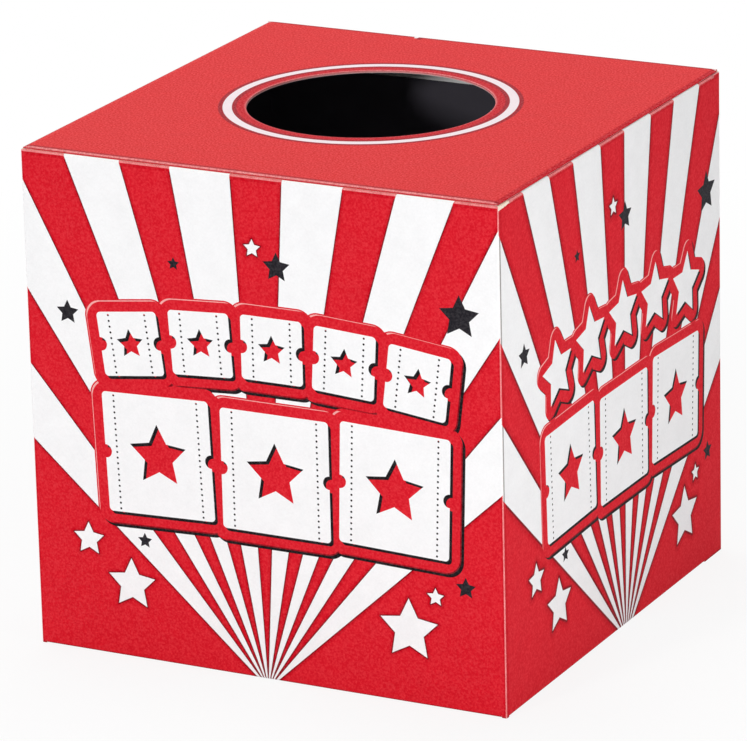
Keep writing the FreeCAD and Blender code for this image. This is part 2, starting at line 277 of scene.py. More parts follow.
class Nodes:
    """Adds nodes to one tree. Each method gives back the result that other nodes read."""

    def __init__(self, tree):
        self.tree = tree

    def feed(self, socket, value):
        if isinstance(value, bpy.types.NodeSocket):
            self.tree.links.new(value, socket)
        else:
            socket.default_value = value

    def add(self, kind, sockets=None, **settings):
        node = self.tree.nodes.new(kind)
        for name, value in settings.items():
            setattr(node, name, value)
        for name, value in (sockets or {}).items():
            self.feed(node.inputs[name], value)
        return node

    def math(self, operation, *values):
        node = self.add("ShaderNodeMath", operation=operation)
        for socket, value in zip(node.inputs, values):
            self.feed(socket, value)
        return node.outputs[0]

    def vector(self, operation, *values):
        node = self.add("ShaderNodeVectorMath", operation=operation)
        for socket, value in zip(node.inputs, values):
            self.feed(socket, value)
        return node.outputs["Value" if operation in ("DOT_PRODUCT", "LENGTH", "DISTANCE") else "Vector"]

    def scaled(self, vector, factor):
        node = self.add("ShaderNodeVectorMath", {"Scale": factor}, operation="SCALE")
        self.feed(node.inputs[0], vector)
        return node.outputs["Vector"]

    def turned(self, vector, angle):
        node = self.add(
            "ShaderNodeVectorRotate", {"Vector": vector, "Angle": angle}, rotation_type="Z_AXIS",
        )
        return node.outputs["Vector"]

    def split(self, vector):
        return self.add("ShaderNodeSeparateXYZ", {"Vector": vector}).outputs

    def join(self, x, y, z=0.0):
        return self.add("ShaderNodeCombineXYZ", {"X": x, "Y": y, "Z": z}).outputs["Vector"]

    def ramp(self, value, low, high):
        """0 at low and 1 at high, even in between. low may be the larger."""
        node = self.add("ShaderNodeMapRange", {"Value": value, "From Min": low, "From Max": high})
        return node.outputs["Result"]

    def inside(self, distance):
        """1 where a signed distance is below zero, with the soft edge of a print."""
        return self.ramp(distance, PRINT_EDGE, -PRINT_EDGE)

    def mix(self, factor, first, second):
        node = self.add("ShaderNodeMix", data_type="RGBA")
        for place, value in ((0, factor), (6, first), (7, second)):
            self.feed(node.inputs[place], value)
        return node.outputs[2]

    def noise(self, place, scale, detail=2.0, roughness=0.5):
        node = self.add("ShaderNodeTexNoise", {
            "Vector": place, "Scale": scale, "Detail": detail, "Roughness": roughness,
        })
        return node.outputs["Fac"]

    def nearest(self, distances):
        """The smallest of several distances."""
        least = distances[0]
        for distance in distances[1:]:
            least = self.math("MINIMUM", least, distance)
        return least

    def use(self, group, **values):
        """A node group in place, with its inputs by name."""
        node = self.add("ShaderNodeGroup", node_tree=group)
        for name, value in values.items():
            self.feed(node.inputs[name], value)
        return node.outputs


def shader_group(name, inputs, outputs):
    """A new node group: its nodes, what it is given and where its results go."""
    tree = bpy.data.node_groups.new(name, "ShaderNodeTree")
    for label, kind, value in inputs:
        socket = tree.interface.new_socket(name=label, in_out="INPUT", socket_type="NodeSocket" + kind)
        if value is not None:
            socket.default_value = value
    for label, kind in outputs:
        tree.interface.new_socket(name=label, in_out="OUTPUT", socket_type="NodeSocket" + kind)
    nodes = Nodes(tree)
    given = nodes.add("NodeGroupInput").outputs
    results = nodes.add("NodeGroupOutput").inputs
    return nodes, given, results


# Printed shapes, each a signed distance in millimetres that is negative inside

def star_shape():
    """Five-point star: the plane is folded into one tenth of the star, where its outline is the
    single straight line from a point to the waist, and the distance to that line is taken."""
    nodes, given, results = shader_group("star_shape", [
        ("Place", "Vector", None), ("Centre", "Vector", None), ("Radius", "Float", 10.0),
    ], [("Distance", "Float")])
    tenth = math.pi / 5
    waist = (STAR_WAIST * math.cos(tenth) - 1, STAR_WAIST * math.sin(tenth))
    side = math.hypot(*waist)
    local = nodes.vector("SUBTRACT", given["Place"], given["Centre"])
    local = nodes.vector("DIVIDE", local, nodes.join(given["Radius"], given["Radius"], 1.0))
    axes = nodes.split(local)
    folded = nodes.math("PINGPONG", nodes.math("ARCTAN2", axes["X"], axes["Y"]), tenth)
    reach = nodes.vector("LENGTH", local)
    from_tip = nodes.join(
        nodes.math("SUBTRACT", nodes.math("MULTIPLY", reach, nodes.math("COSINE", folded)), 1.0),
        nodes.math("MULTIPLY", reach, nodes.math("SINE", folded)),
    )
    share = nodes.vector("DOT_PRODUCT", from_tip, (waist[0] / side**2, waist[1] / side**2, 0))
    on_line = nodes.scaled((*waist, 0), nodes.ramp(share, 0.0, 1.0))
    away = nodes.vector("DISTANCE", from_tip, on_line)
    outward = nodes.vector("DOT_PRODUCT", from_tip, (waist[1] / side, -waist[0] / side, 0))
    signed = nodes.math("MULTIPLY", away, nodes.math("SIGN", outward))
    nodes.feed(results["Distance"], nodes.math("MULTIPLY", signed, given["Radius"]))
    return nodes.tree


def ticket_shape():
    """Raffle ticket: a rounded rectangle with a half-round notch in each short end and a row of
    perforations beside it. Card is the rectangle alone, Local the place in the tilted ticket."""
    nodes, given, results = shader_group("ticket_shape", [
        ("Place", "Vector", None), ("Centre", "Vector", None),
        ("Half size", "Vector", None), ("Tilt", "Float", 0.0),
    ], [("Card", "Float"), ("Ticket", "Float"), ("Local", "Vector")])
    offset = nodes.vector("SUBTRACT", given["Place"], given["Centre"])
    local = nodes.turned(offset, nodes.math("MULTIPLY", given["Tilt"], -1.0))
    mirrored = nodes.vector("ABSOLUTE", local)
    beyond = nodes.vector("SUBTRACT", mirrored, given["Half size"])
    inset = nodes.vector("ADD", beyond, (TICKET_ROUND, TICKET_ROUND, 0))
    rounded = nodes.vector("LENGTH", nodes.vector("MAXIMUM", inset, (0, 0, 0)))
    axes = nodes.split(inset)
    flat = nodes.math("MINIMUM", nodes.math("MAXIMUM", axes["X"], axes["Y"]), 0.0)
    card = nodes.math("SUBTRACT", nodes.math("ADD", rounded, flat), TICKET_ROUND)
    end = nodes.split(beyond)["X"]
    across = nodes.split(local)["Y"]
    notch = nodes.vector("LENGTH", nodes.join(end, across))
    notch = nodes.math("SUBTRACT", TICKET_NOTCH, notch)
    row = nodes.math("ADD", end, TICKET_PERFORATION)
    pitch = PERFORATION_PITCH / 2
    dot = nodes.vector("LENGTH", nodes.join(row, nodes.math("WRAP", across, pitch, -pitch)))
    dot = nodes.math("SUBTRACT", PERFORATION_RADIUS, dot)
    ticket = nodes.math("MAXIMUM", nodes.math("MAXIMUM", card, notch), dot)
    nodes.feed(results["Card"], card)
    nodes.feed(results["Ticket"], ticket)
    nodes.feed(results["Local"], local)
    return nodes.tree


def sunburst(name, meet, edges):
    """White rays: each lies between two straight edges through one point, so its distance is the
    larger of the distances past the two."""
    nodes, given, results = shader_group(name, [("Place", "Vector", None)], [("Distance", "Float")])
    local = nodes.vector("SUBTRACT", given["Place"], (*meet, 0))
    rays = []
    for left, right in edges:
        left, right = math.radians(left), math.radians(right)
        past_left = nodes.vector("DOT_PRODUCT", local, (-math.cos(left), math.sin(left), 0))
        past_right = nodes.vector("DOT_PRODUCT", local, (math.cos(right), -math.sin(right), 0))
        rays.append(nodes.math("MAXIMUM", past_left, past_right))
    nodes.feed(results["Distance"], nodes.nearest(rays))
    return nodes.tree


def star_field(name, star, places):
    """Scattered stars: the nearest star's distance."""
    nodes, given, results = shader_group(name, [("Place", "Vector", None)], [("Distance", "Float")])
    stars = [
        nodes.use(star, Place=given["Place"], Centre=(across, up, 0), Radius=radius)["Distance"]
        for across, up, radius in places
    ]
    nodes.feed(results["Distance"], nodes.nearest(stars))
    return nodes.tree


def row_members(nodes, place, row):
    """The two members of a row that are nearest to a place: each one's centre and lean. Its number
    is the place's distance from the middle in pitches, rounded down or up and kept in the row."""
    middle = row["middle"]
    end = (row["count"] - 1) / 2
    along = nodes.math("SUBTRACT", nodes.split(place)["X"], middle[0] - end * row["pitch"])
    lower = nodes.math("FLOOR", nodes.math("DIVIDE", along, row["pitch"]))
    for step in (0, 1):
        number = nodes.math("SUBTRACT", nodes.math("ADD", lower, step), end)
        number = nodes.math("MAXIMUM", nodes.math("MINIMUM", number, end), -end)
        across = nodes.math("MULTIPLY_ADD", number, row["pitch"], middle[0])
        up = nodes.math("MULTIPLY_ADD", nodes.math("MULTIPLY", number, number), -row["arch"], middle[1])
        yield nodes.join(across, up), nodes.math("MULTIPLY", number, math.radians(row["fan"]))


def badge(name, star, ticket, ticket_rows, star_rows):
    """Tickets and stars on one lobed backing, which is their outline moved out by a margin."""
    nodes, given, results = shader_group(
        name, [("Place", "Vector", None)], [("Backing", "Float"), ("White", "Float")],
    )
    place = given["Place"]
    outline = FAR_AWAY
    white = FAR_AWAY
    for row in ticket_rows:
        for centre, lean in row_members(nodes, place, row):
            shape = nodes.use(ticket, **{
                "Place": place, "Centre": centre, "Half size": (*row["half"], 0), "Tilt": lean,
            })
            outline = nodes.math("MINIMUM", outline, shape["Card"])
            hole = nodes.use(star, Place=shape["Local"], Centre=(0, 0, 0), Radius=row["punched"])
            punched = nodes.math("MAXIMUM", shape["Ticket"], nodes.math("MULTIPLY", hole["Distance"], -1.0))
            white = nodes.math("MINIMUM", white, punched)
    for row in star_rows:
        for centre, lean in row_members(nodes, place, row):
            offset = nodes.vector("SUBTRACT", place, centre)
            local = nodes.turned(offset, nodes.math("MULTIPLY", lean, -1.0))
            whole = nodes.use(star, Place=local, Centre=(0, 0, 0), Radius=row["radius"])["Distance"]
            outline = nodes.math("MINIMUM", outline, whole)
            white = nodes.math("MINIMUM", white, whole)
    nodes.feed(results["Backing"], nodes.math("SUBTRACT", outline, BADGE_MARGIN))
    nodes.feed(results["White"], white)
    return nodes.tree


def trapped_red(nodes, white, reach=1.0, red=RED):
    """Red beside a white shape: a dark line at its edge, then a band of deeper red."""
    band = TRAP_BAND * reach
    line = TRAP_LINE * reach
    colour = nodes.mix(nodes.ramp(white, band, band * 0.5), red, BRIGHT_RED)
    return nodes.mix(nodes.ramp(white, line, line * 0.5), colour, DEEP_RED)


def wall_print(name, rays, whites, blacks, middle, trap, crease_shade_widths, shade_lined):
    """A wall's print: red with white rays and stars, black stars, and the badge with its pale
    upper left rim, its dark lower right rim and its drop shadows. Beside its upright folds and below
    its top edge the red is deeper as painted shade of the creases, and a shade-lined left fold shows a
    grey line of painted shade on white."""
    nodes, given, results = shader_group(name, [("Place", "Vector", None)], [("Color", "Color")])
    place = given["Place"]
    white = nodes.math(
        "MINIMUM", nodes.use(rays, Place=place)["Distance"], nodes.use(whites, Place=place)["Distance"],
    )
    axes = nodes.split(place)
    # Painted shade: deeper red beside the upright folds and below the top edge, where the creases' shade
    # falls
    beside = nodes.math(
        "MAXIMUM",
        nodes.ramp(axes["X"], crease_shade_widths[0] + 0.3, crease_shade_widths[0] - 0.3),
        nodes.ramp(axes["X"], 2 * HALF - crease_shade_widths[1] - 0.3, 2 * HALF - crease_shade_widths[1] + 0.3),
    )
    top_line = TOP - BOARD - TOP_CREASE_SHADE
    beside = nodes.math("MAXIMUM", beside, nodes.ramp(axes["Y"], top_line - 0.2, top_line + 0.2))
    colour = nodes.mix(beside, trapped_red(nodes, white, trap), BRIGHT_RED)
    foot = nodes.ramp(axes["Y"], FOOT_LINE, FOOT_LINE / 2)
    colour = nodes.mix(nodes.math("MULTIPLY", foot, 0.6), colour, DEEP_RED)
    pale = WHITE
    # Painted shade: a grey line on white beside the left fold
    if shade_lined:
        shade_line_distance = nodes.math("ABSOLUTE", nodes.math("SUBTRACT", axes["X"], SHADE_LINE_MIDDLE))
        pale = nodes.mix(nodes.ramp(shade_line_distance, SHADE_LINE_HALF, SHADE_LINE_HALF - 0.35), WHITE, CREASE_SHADE_GREY)
    colour = nodes.mix(nodes.inside(white), colour, pale)
    colour = nodes.mix(nodes.inside(nodes.use(blacks, Place=place)["Distance"]), colour, BLACK)
    here = nodes.use(middle, Place=place)
    lit_side = nodes.vector("ADD", place, (-BADGE_SHIFT, BADGE_SHIFT, 0))
    there = nodes.use(middle, Place=lit_side)
    on_badge = nodes.inside(here["Backing"])
    colour = nodes.mix(nodes.inside(there["Backing"]), colour, SHADOW_BLACK)
    colour = nodes.mix(on_badge, colour, RED)
    inset = nodes.inside(nodes.math("ADD", here["Backing"], 0.8))
    lit = nodes.math("MULTIPLY", inset, nodes.ramp(there["Backing"], 0.3, 0.6))
    colour = nodes.mix(nodes.math("MULTIPLY", lit, 0.8), colour, PINK)
    fall = nodes.math("SUBTRACT", there["Backing"], here["Backing"])
    rim = nodes.math("MULTIPLY", nodes.ramp(fall, -1.0, -1.8), nodes.ramp(here["Backing"], -0.9, -0.6))
    colour = nodes.mix(nodes.math("MULTIPLY", rim, on_badge), colour, DEEP_RED)
    shade = nodes.math("MULTIPLY", nodes.inside(there["White"]), on_badge)
    colour = nodes.mix(shade, colour, SHADOW_BLACK)
    nodes.feed(results["Color"], nodes.mix(nodes.inside(here["White"]), colour, WHITE))
    return nodes.tree


def cracked(nodes, colour, across, inward):
    """A crack in the varnish of the lid's back fold: a white chip with a dent beside it, painted dark
    red as its shade, both ellipses, across the fold and inward from the back."""
    for place, size, mark in ((CHIP_PLACE, CHIP_SIZE, WHITE), (DENT_PLACE, DENT_SIZE, RING_RED)):
        offset = nodes.vector("SUBTRACT", nodes.join(across, inward), (*place, 0))
        reach = nodes.vector("LENGTH", nodes.vector("DIVIDE", offset, (*size, 1)))
        colour = nodes.mix(nodes.ramp(reach, 1.1, 0.9), colour, mark)
    return colour


def lid_print():
    """The lid's print: red with a white ring round the hand hole. It is deeper inside the ring. Deeper
    red is painted as shade on the crushed right side and in lines beside the front and back folds and
    at the left edge, and a faint pale line round the hole is partly rim wear, partly painted highlight."""
    nodes, given, results = shader_group("lid_print", [("Place", "Vector", None)], [("Color", "Color")])
    flat = nodes.vector("MULTIPLY", given["Place"], (1, 1, 0))
    out = nodes.vector("DISTANCE", flat, HOLE_CENTRE)
    half_ring = (RING_OUTER - RING_INNER) / 2
    from_ring = nodes.math("ABSOLUTE", nodes.math("SUBTRACT", out, RING_INNER + half_ring))
    ring = nodes.math("SUBTRACT", from_ring, half_ring)
    axes = nodes.split(flat)
    from_right = nodes.math("SUBTRACT", LID_HIGH.x / MM, axes["X"])
    from_left = nodes.math("SUBTRACT", axes["X"], LID_LOW.x / MM)
    from_front = nodes.math("SUBTRACT", axes["Y"], LID_LOW.y / MM + BOARD)
    from_back = nodes.math("SUBTRACT", LID_HIGH.y / MM - BOARD, axes["Y"])
    within = nodes.ramp(out, RING_INNER + 0.5, RING_INNER - 0.5)
    colour = nodes.mix(within, trapped_red(nodes, ring, 1.0, LID_RED), BRIGHT_RED)
    colour = nodes.mix(nodes.ramp(ring, RING_LINE + 0.3, RING_LINE - 0.3), colour, RING_RED)
    # A faint pale line round the hole: partly rim wear, partly painted highlight
    rim = nodes.ramp(out, HOLE_RADIUS + 1.5, HOLE_RADIUS + 1.0)
    colour = nodes.mix(nodes.math("MULTIPLY", rim, 0.2), colour, FOLD_PINK)
    # Painted shade: deeper red on the crushed right edge, and darker lines at the left edge and beside the
    # front and back folds
    crushed = nodes.ramp(from_right, LID_EDGE_SHADE_BAND + 0.6, LID_EDGE_SHADE_BAND - 0.4)
    colour = nodes.mix(crushed, colour, CRUSHED_SHADE_RED)
    side = nodes.ramp(from_left, LID_EDGE_SHADE_LINE + 0.2, LID_EDGE_SHADE_LINE - 0.2)
    line = nodes.math("MAXIMUM", nodes.ramp(from_front, 2.6, 1.4), nodes.ramp(from_back, 1.6, 0.6))
    line = nodes.math("MAXIMUM", line, side)
    colour = nodes.mix(nodes.math("MULTIPLY", line, 0.55), colour, DEEP_RED)
    colour = cracked(nodes, colour, axes["X"], nodes.math("SUBTRACT", HALF, axes["Y"]))
    nodes.feed(results["Color"], nodes.mix(nodes.inside(ring), colour, RING_WHITE))
    return nodes.tree


# Board

def board_surface():
    """Varnished board: print on the outer side, bare white on the inner one, and between them the
    cut edge with its paper skins and cream core. The print pales and cracks where it is bent; the
    paling is partly stretched ink and partly a painted highlight, and where a bend turns away its
    print is darkened as painted shade. Print over a cut edge is drawn in that painted shade red.
    Its ink lies unevenly on the paper's grain and lets a little white through."""
    nodes, given, results = shader_group("board_surface", [
        ("Place", "Vector", None), ("Turned", "Float", 1.0), ("Bend", "Float", 0.0),
        ("Depth", "Float", 0.0), ("Print", "Color", RED), ("Core", "Color", CORE_CREAM),
        ("Fold", "Float", 0.8), ("Wrap", "Float", WRAP_DEPTH), ("Grain", "Float", 1.0),
    ], [("Color", "Color"), ("Roughness", "Float"), ("Height", "Float")])
    place = given["Place"]
    turned = given["Turned"]
    printed = nodes.ramp(turned, 0.14, 0.26)
    inner = nodes.ramp(turned, -0.14, -0.26)
    bent = given["Bend"]

    fine = nodes.noise(place, FIBRE_SCALE, 3.0, 0.6)
    grain = nodes.noise(place, GRAIN_SCALE, 2.0, 0.6)
    cloud = nodes.noise(place, CLOUD_SCALE, 3.0, 0.55)
    streak = nodes.noise(place, STREAK_SCALE, 4.0, 0.65)

    whiteness = nodes.add("ShaderNodeSeparateColor", {"Color": given["Print"]}).outputs["Green"]
    coloured = nodes.ramp(whiteness, 0.7, 0.3)
    # Paler pink on bends: partly stretched ink, partly painted highlight of the fold
    pale = nodes.math("MULTIPLY_ADD", nodes.ramp(streak, 0.3, 0.65), 0.5, 0.5)
    pale = nodes.math("MULTIPLY", nodes.math("MULTIPLY", pale, bent), given["Fold"])
    thin = nodes.math("MULTIPLY", nodes.ramp(grain, 0.4, 0.75), INK_THINNING)
    thin = nodes.math("MULTIPLY", thin, nodes.math("POWER", given["Grain"], 2.0))
    colour = nodes.mix(nodes.math("MULTIPLY", thin, coloured), given["Print"], WHITE)
    colour = nodes.mix(nodes.math("MULTIPLY", pale, coloured), colour, FOLD_PINK)
    crack = nodes.math("MULTIPLY", bent, given["Fold"])
    crack = nodes.math("MULTIPLY", crack, nodes.ramp(fine, 0.56, 0.64))
    colour = nodes.mix(nodes.math("MULTIPLY", crack, 0.6), colour, CRACK_GREY)
    # Painted shade: print on the part of a bend that turns away is darkened
    turned_away_shade = nodes.math("MULTIPLY", nodes.ramp(turned, 0.5, 0.3), coloured)
    colour = nodes.mix(turned_away_shade, colour, GAP_SHADE_RED)
    mottle = nodes.math("MULTIPLY", nodes.math("SUBTRACT", cloud, 0.5), MOTTLE)
    strength = nodes.math("MULTIPLY_ADD", coloured, INK_SPECKLE, BARE_SPECKLE)
    strength = nodes.math("MULTIPLY", strength, given["Grain"])
    speckle = nodes.math("MULTIPLY", nodes.math("SUBTRACT", grain, 0.5), strength)
    tone = nodes.math("ADD", nodes.math("ADD", mottle, speckle), 1.0)
    colour = nodes.scaled(colour, tone)

    fleck = nodes.ramp(nodes.noise(place, 0.9, 4.0, 0.75), 0.60, 0.72)
    plain = nodes.mix(nodes.math("MULTIPLY", fleck, 0.10), INSIDE_WHITE, CORE_CREAM)
    plain = nodes.scaled(plain, tone)

    depth = given["Depth"]
    skins = nodes.math("ABSOLUTE", nodes.math("SUBTRACT", depth, BOARD / 2))
    skin = nodes.ramp(skins, BOARD / 2 - SKIN_DEPTH - 0.04, BOARD / 2 - SKIN_DEPTH + 0.04)
    core = nodes.scaled(given["Core"], nodes.math("MULTIPLY_ADD", nodes.ramp(fine, 0.35, 0.7), -0.25, 1.0))
    cut = nodes.mix(nodes.math("MULTIPLY", skin, 0.5), core, INSIDE_WHITE)
    # Print over a cut edge, drawn in painted shade red with pale flecks
    wrapped = nodes.mix(nodes.math("MULTIPLY", nodes.ramp(fine, 0.62, 0.68), 0.5), GAP_SHADE_RED, FOLD_PINK)
    over = nodes.ramp(nodes.math("SUBTRACT", depth, given["Wrap"]), 0.03, -0.03)
    cut = nodes.mix(over, cut, wrapped)

    surface = nodes.mix(printed, cut, colour)
    surface = nodes.mix(inner, surface, plain)
    nodes.feed(results["Color"], surface)
    gloss = nodes.math("ADD", VARNISH_ROUGHNESS, nodes.math("MULTIPLY", fine, 0.10))
    rough = nodes.math("MULTIPLY_ADD", nodes.math("SUBTRACT", 1.0, printed), 0.25, gloss)
    nodes.feed(results["Roughness"], rough)
    fibre = nodes.math("MULTIPLY", fine, nodes.math("MULTIPLY_ADD", printed, -0.6, 1.0))
    nodes.feed(results["Height"], fibre)
    return nodes.tree


def panel_place(nodes, quarter, at_rest):
    """Where on the board a point is and which way it faces, turned to the front side by a number of
    quarter turns, or left as it is for None. A piece that bends carries both from its rest shape."""
    if at_rest:
        place = nodes.add("ShaderNodeAttribute", attribute_name="rest_place").outputs["Vector"]
        facing = nodes.add("ShaderNodeAttribute", attribute_name="rest_facing").outputs["Vector"]
    else:
        source = nodes.add("ShaderNodeTexCoord").outputs
        place, facing = source["Object"], source["Normal"]
    place = nodes.scaled(place, 1 / MM)
    if quarter:
        angle = -quarter * math.pi / 2
        place = nodes.turned(place, angle)
        facing = nodes.turned(facing, angle)
    return place, facing


def paper_shader(material, nodes, surface):
    """The shader of a board, card or fibre: its colour, its roughness and the relief of its fibres."""
    bump = nodes.add("ShaderNodeBump", {
        "Strength": 0.35, "Distance": 0.00006, "Height": surface["Height"],
    })
    shader = nodes.add("ShaderNodeBsdfPrincipled", {
        "Base Color": surface["Color"], "Roughness": surface["Roughness"],
        "Normal": bump.outputs["Normal"], "Specular IOR Level": VARNISH_LEVEL,
    })
    output = nodes.add("ShaderNodeOutputMaterial")
    nodes.feed(output.inputs["Surface"], shader.outputs["BSDF"])
    return material


def new_material(name):
    material = bpy.data.materials.new(name)
    material.use_nodes = True
    material.node_tree.nodes.clear()
    return material, Nodes(material.node_tree)


def board_material(
    name, outward, outer, print_colour, quarter=0, at_rest=False, mitred=False, fold=0.8,
    core=CORE_CREAM, wrap=None, grain=1.0,
):
    """Printed board. outer is how far the outer face lies along outward from the origin.
    print_colour makes the print from the nodes and the place. On a flap, what faces the wall's way
    beside the fold counts as outward too, and on a mitred fold both the wall's way and the top do.
    fold is how far the print pales where it bends, partly as a painted highlight, core the colour of
    the cut edge and wrap how deep the print reaches over it. Each of these may be made from the nodes and
    the place."""
    material, nodes = new_material(name)
    place, facing = panel_place(nodes, quarter, at_rest)
    along = nodes.vector("DOT_PRODUCT", place, outward)
    depth = nodes.math("FLOORED_MODULO", nodes.math("SUBTRACT", outer + 0.01, along), LAYER)
    over_fold = nodes.ramp(nodes.split(place)["Y"], BLEED - HALF, BLEED - HALF - 0.3)
    to_wall = nodes.math("SUBTRACT", nodes.vector("DOT_PRODUCT", facing, FRONT_SIDE), 2.0)
    to_wall = nodes.math("MULTIPLY_ADD", over_fold, 2.0, to_wall)
    turned = nodes.vector("DOT_PRODUCT", facing, outward)
    if outward != FRONT_SIDE and quarter is not None:
        turned = nodes.math("MAXIMUM", turned, to_wall)
    bend = nodes.math("MULTIPLY", nodes.ramp(turned, 0.975, 0.915), nodes.ramp(turned, 0.3, 0.5))
    if mitred:
        upward = nodes.vector("DOT_PRODUCT", facing, UP)
        bend = nodes.ramp(nodes.math("MAXIMUM", turned, upward), 0.985, 0.93)
        turned = nodes.math("ADD", turned, upward)
    surface = nodes.use(
        board_group, Place=place, Turned=turned, Bend=bend, Depth=depth,
        Print=print_colour(nodes, place),
        Core=core(nodes, place) if callable(core) else core,
        Fold=fold(nodes, place) if callable(fold) else fold,
        Wrap=wrap(nodes, place) if wrap else WRAP_DEPTH, Grain=grain,
    )
    return paper_shader(material, nodes, surface)


def plain_red(nodes, place):
    return RED


def plain_white(nodes, place):
    return INSIDE_WHITE


def wall_pattern(group):
    """The print of a wall, with its place measured from the wall's lower left corner."""
    def pattern(nodes, place):
        axes = nodes.split(place)
        spot = nodes.join(nodes.math("ADD", axes["X"], HALF), axes["Z"])
        return nodes.use(group, Place=spot)["Color"]
    return pattern


def bleed_pattern(group):
    """The print of a flap: the wall's bleeds over the fold a little way, then plain red."""
    def pattern(nodes, place):
        over = nodes.ramp(nodes.split(place)["Y"], BLEED - HALF, BLEED - HALF + 0.2)
        return nodes.mix(over, wall_pattern(group)(nodes, place), RED)
    return pattern


def back_fold_pattern(group):
    """The print over the lid's fold: the back wall's up to the middle of the bend, then deep red with the
    lid's crack, painted shade that goes on from the line beside the back fold.
    """
    def pattern(nodes, place):
        axes = nodes.split(place)
        inward = nodes.math("ADD", axes["Y"], HALF)
        down = nodes.math("SUBTRACT", TOP, axes["Z"])
        over = nodes.ramp(nodes.math("SUBTRACT", inward, down), -0.03, 0.03)
        # Painted shade: the lid's half of the fold in deep red, going on from the line beside the back fold
        lid_side_shade = cracked(nodes, DEEP_RED, nodes.math("MULTIPLY", axes["X"], -1.0), inward)
        return nodes.mix(over, wall_pattern(group)(nodes, place), lid_side_shade)
    return pattern


def worn_pattern(group):
    """The right wall's print, with the top of the front corner post worn down to its pale core. The
    worn strip is deepest at the corner, and its edge is ragged."""
    def pattern(nodes, place):
        axes = nodes.split(place)
        from_corner = nodes.math("ADD", axes["X"], HALF)
        ragged = nodes.noise(place, 0.5, 3.0, 0.6)
        ragged = nodes.math("MULTIPLY_ADD", ragged, WEAR_RAGGED, -WEAR_RAGGED / 2)
        depth = nodes.math("MULTIPLY_ADD", from_corner, -WEAR_TAPER, WEAR_DEPTH)
        down = nodes.math("SUBTRACT", TOP - BOARD, axes["Z"])
        worn = nodes.math("SUBTRACT", nodes.math("ADD", down, ragged), depth)
        ends = nodes.ramp(from_corner, POST_WIDTH + 0.3, POST_WIDTH - 0.3)
        mask = nodes.math("MULTIPLY", nodes.ramp(worn, 0.2, -0.2), ends)
        return nodes.mix(mask, wall_pattern(group)(nodes, place), WORN_CREAM)
    return pattern


def right_core(nodes, place):
    """The right wall's cut top edge is bare at the front post and shows the fold's pink at the back, partly
    a painted highlight.
    """
    return nodes.mix(nodes.ramp(nodes.split(place)["X"], 0.0, 1.0), CORE_CREAM, FOLD_PINK)


def lid_pattern(nodes, place):
    return nodes.use(lid_group, Place=place)["Color"]


def lid_wrap(nodes, place):
    """On the lid's crushed sides the print covers the cut, and elsewhere only its top skin; that print is
    drawn in painted shade red.
    """
    aside = nodes.math("ABSOLUTE", nodes.split(place)["X"])
    on_side = nodes.ramp(aside, LID_FLAT, LID_CRUSHED)
    return nodes.math("MULTIPLY_ADD", on_side, LID_WRAP_DEPTH - WRAP_DEPTH, WRAP_DEPTH)


def lid_folds(nodes, place):
    """On the lid the print pales, partly as a painted highlight, at the front and back folds and round the
    hole, but not on the crushed sides."""
    axes = nodes.split(nodes.vector("ABSOLUTE", place))
    side = nodes.ramp(axes["X"], LID_CRUSHED, LID_FLAT)
    end = nodes.ramp(axes["Y"], LID_HIGH.y / MM - 3.2, LID_HIGH.y / MM - 2.8)
    return nodes.math("MULTIPLY", nodes.math("MAXIMUM", side, end), 0.75)


def sleeve_material():
    """Matt black card, with fine paler fibres and a greyer core at its cut edges."""
    material, nodes = new_material("black_card")
    source = nodes.add("ShaderNodeTexCoord").outputs
    place = nodes.scaled(source["Object"], 1 / MM)
    fine = nodes.noise(place, 1.3, 4.0, 0.7)
    cloud = nodes.noise(place, 0.05, 2.0)
    fibre = nodes.ramp(nodes.noise(nodes.vector("MULTIPLY", place, (1, 1, 3)), 0.7, 5.0, 0.8), 0.58, 0.75)
    colour = nodes.mix(nodes.math("MULTIPLY", fibre, 0.5), SLEEVE_BLACK, SLEEVE_FIBRE)
    up = nodes.math("ABSOLUTE", nodes.split(source["Normal"])["Z"])
    colour = nodes.mix(nodes.ramp(up, 0.6, 0.8), colour, SLEEVE_CORE)
    colour = nodes.scaled(colour, nodes.math("ADD", 0.85, nodes.math("MULTIPLY", cloud, 0.3)))
    roughness = nodes.math("ADD", 0.5, nodes.math("MULTIPLY", fine, 0.14))
    return paper_shader(material, nodes, {"Color": colour, "Roughness": roughness, "Height": fine})


star_group = star_shape()
ticket_group = ticket_shape()
front_group = wall_print(
    "front_print",
    sunburst("front_rays", FRONT_RAYS_MEET, FRONT_RAY_EDGES),
    star_field("front_white_stars", star_group, FRONT_WHITE_STARS),
    star_field("front_black_stars", star_group, FRONT_BLACK_STARS),
    badge("front_badge", star_group, ticket_group, FRONT_TICKET_ROWS, FRONT_STAR_ROWS),
    1.0, FRONT_CREASE_SHADE, False,
)
side_group = wall_print(
    "side_print",
    sunburst("side_rays", SIDE_RAYS_MEET, SIDE_RAY_EDGES),
    star_field("side_white_stars", star_group, SIDE_WHITE_STARS),
    star_field("side_black_stars", star_group, SIDE_BLACK_STARS),
    badge("side_badge", star_group, ticket_group, SIDE_TICKET_ROWS, SIDE_STAR_ROWS),
    SIDE_TRAP, SIDE_CREASE_SHADE, True,
)
lid_group = lid_print()
board_group = board_surface()

SIDES = ("front", "right", "back", "left")
wall_groups = (front_group, side_group, front_group, side_group)
lid_material = board_material(
    "lid_board", UP, TOP, lid_pattern, quarter=None, fold=lid_folds, core=CORE_PINK, wrap=lid_wrap,
    grain=LID_GRAIN,
)
tuck_material = board_material("tuck_flap_board", FRONT_SIDE, TUCK_OUTER, plain_red)
seam_material = board_material("seam_tab_board", FRONT_SIDE, HALF - BOARD, plain_white, quarter=2)
black_card = sleeve_material()


